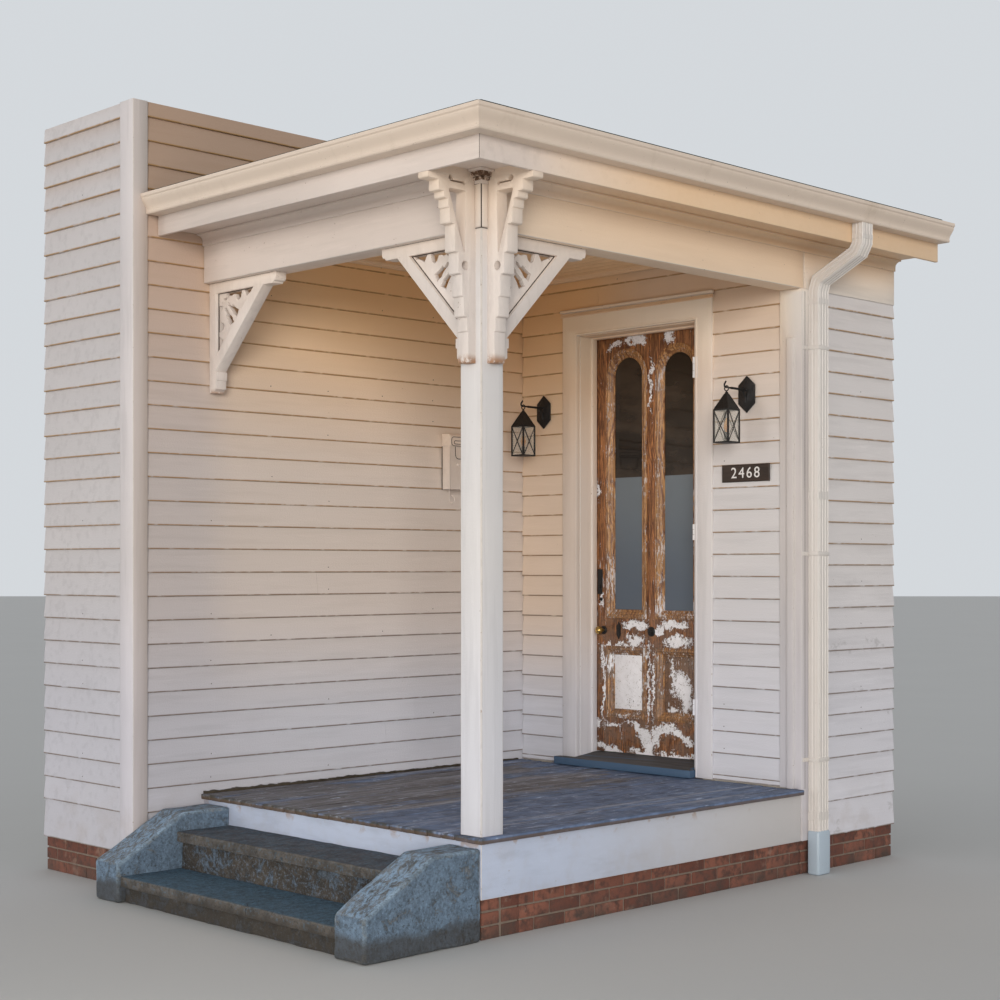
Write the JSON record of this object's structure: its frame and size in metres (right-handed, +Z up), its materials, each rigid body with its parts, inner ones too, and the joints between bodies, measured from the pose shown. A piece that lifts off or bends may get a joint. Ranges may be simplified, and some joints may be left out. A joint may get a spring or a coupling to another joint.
{
  "type": "entrance porch",
  "caption": "Timber entrance porch in a corner of lap-sided walls: panelled glazed door, deck, steps, post, sawn brackets and low hipped roof with gutter.",
  "frame": {"origin": "on the ground, below the middle of the doorway and the middle of the door wall's thickness", "axes": "+X along the door wall, from the left wall to the post side; +Y into the house, away from the steps; +Z up"},
  "size_m": [3.472, 4.027, 4.13],
  "materials": {
    "painted_siding": "cream-white oil paint on lap boards, worn and lightly soiled",
    "painted_trim": "cream-white oil paint, brushed, with small chips",
    "painted_brackets": "cream-white oil paint over sawn wood, flaking at edges",
    "wall_framing": "framing and boarding behind the siding",
    "deck_paint": "grey-blue deck paint worn to weathered boards",
    "sill_paint": "blue floor paint, worn",
    "door_wood": "stripped and varnished wood with peeled white paint",
    "door_panel": "white paint, peeled",
    "rough_timber": "rough sawn, unpainted",
    "ceiling_paint": "cream paint in shade",
    "brick": "weathered red-brown brick with pale mortar",
    "concrete": "weathered concrete",
    "painted_concrete": "blue-grey paint worn off concrete",
    "shingles": "dark green mineral-faced shingles",
    "gutter_metal": "white baked enamel on sheet metal",
    "black_iron": "black painted iron",
    "old_steel": "dull steel",
    "brass": "worn brass",
    "pane": "clear above, frosted below",
    "lantern_pane": "clear",
    "mailbox_paint": "painted with the wall",
    "board_paint": "dark stained board"
  },
  "bodies": {
    "porch_body": {"house_foundation": "brick", "porch_foundation": "brick", "left_wall": "wall_framing", "front_wall_stub": "wall_framing", "door_wall_left": "wall_framing", "door_wall_right": "wall_framing", "door_wall_over": "wall_framing", "right_wall": "wall_framing", "left_siding": "painted_siding", "door_wall_siding": "painted_siding", "right_siding": "painted_siding", "corner_boards": "painted_trim", "room_floor": "rough_timber", "deck_joists": "rough_timber", "deck_boards": "deck_paint", "skirt_boards": "painted_trim", "step_base": "painted_concrete", "step_slabs": "concrete", "left_cheek_wall": "painted_concrete", "right_cheek_wall": "painted_concrete", "post": "painted_trim", "front_beam": "painted_trim", "side_beam": "painted_trim", "frieze_board": "painted_trim", "bed_moulding": "painted_trim", "ceiling_boards": "ceiling_paint", "soffit_boards": "painted_trim", "roof_frame": "rough_timber", "fascia_boards": "painted_trim", "roof": "shingles", "gutter": "gutter_metal", "downspout": "gutter_metal", "front_eave_bracket": "painted_brackets", "side_eave_bracket": "painted_brackets", "wall_spandrel": "painted_brackets", "front_spandrel": "painted_brackets", "side_spandrel": "painted_brackets", "spandrel_frets": "painted_brackets", "left_jamb": "painted_trim", "right_jamb": "painted_trim", "head_jamb": "painted_trim", "door_casing": "painted_trim", "door_sill": "sill_paint", "hinge_leaves": "old_steel", "lantern_arms": "black_iron", "mailbox": "mailbox_paint", "number_board": "board_paint"},
    "door_body": {"door_leaf": "door_wood", "door_beads": "door_wood", "door_panels": "door_panel", "door_glass": "pane", "door_lock": "black_iron", "door_hinges": "old_steel"},
    "knob_body": {"door_knob": "brass"},
    "left_lantern_body": {"left_lantern": "black_iron", "left_lantern_glass": "lantern_pane"},
    "right_lantern_body": {"right_lantern": "black_iron", "right_lantern_glass": "lantern_pane"},
    "mailbox_lid_body": {"mailbox_lid": "mailbox_paint"}
  },
  "joints": [
    {"name": "door_swing", "type": "hinge", "parent": "porch_body", "child": "door_body", "pos_m": [0.448, 0.103, 0.548], "axis": [0, 0, -1], "range_deg": [0, 100]},
    {"name": "knob_turn", "type": "hinge", "parent": "door_body", "child": "knob_body", "pos_m": [-0.387, 0.02, 1.297], "axis": [0, 1, 0], "range_deg": [-60, 60]},
    {"name": "left_lantern_swing", "type": "hinge", "parent": "porch_body", "child": "left_lantern_body", "pos_m": [-0.742, -0.302, 2.686], "axis": [0, 1, 0], "range_deg": [-20, 20]},
    {"name": "right_lantern_swing", "type": "hinge", "parent": "porch_body", "child": "right_lantern_body", "pos_m": [0.85, -0.302, 2.686], "axis": [0, 1, 0], "range_deg": [-20, 20]},
    {"name": "mailbox_lid_lift", "type": "hinge", "parent": "porch_body", "child": "mailbox_lid_body", "pos_m": [-0.9337, -0.682, 2.4963], "axis": [0, -1, 0], "range_deg": [0, 80]}
  ]
}
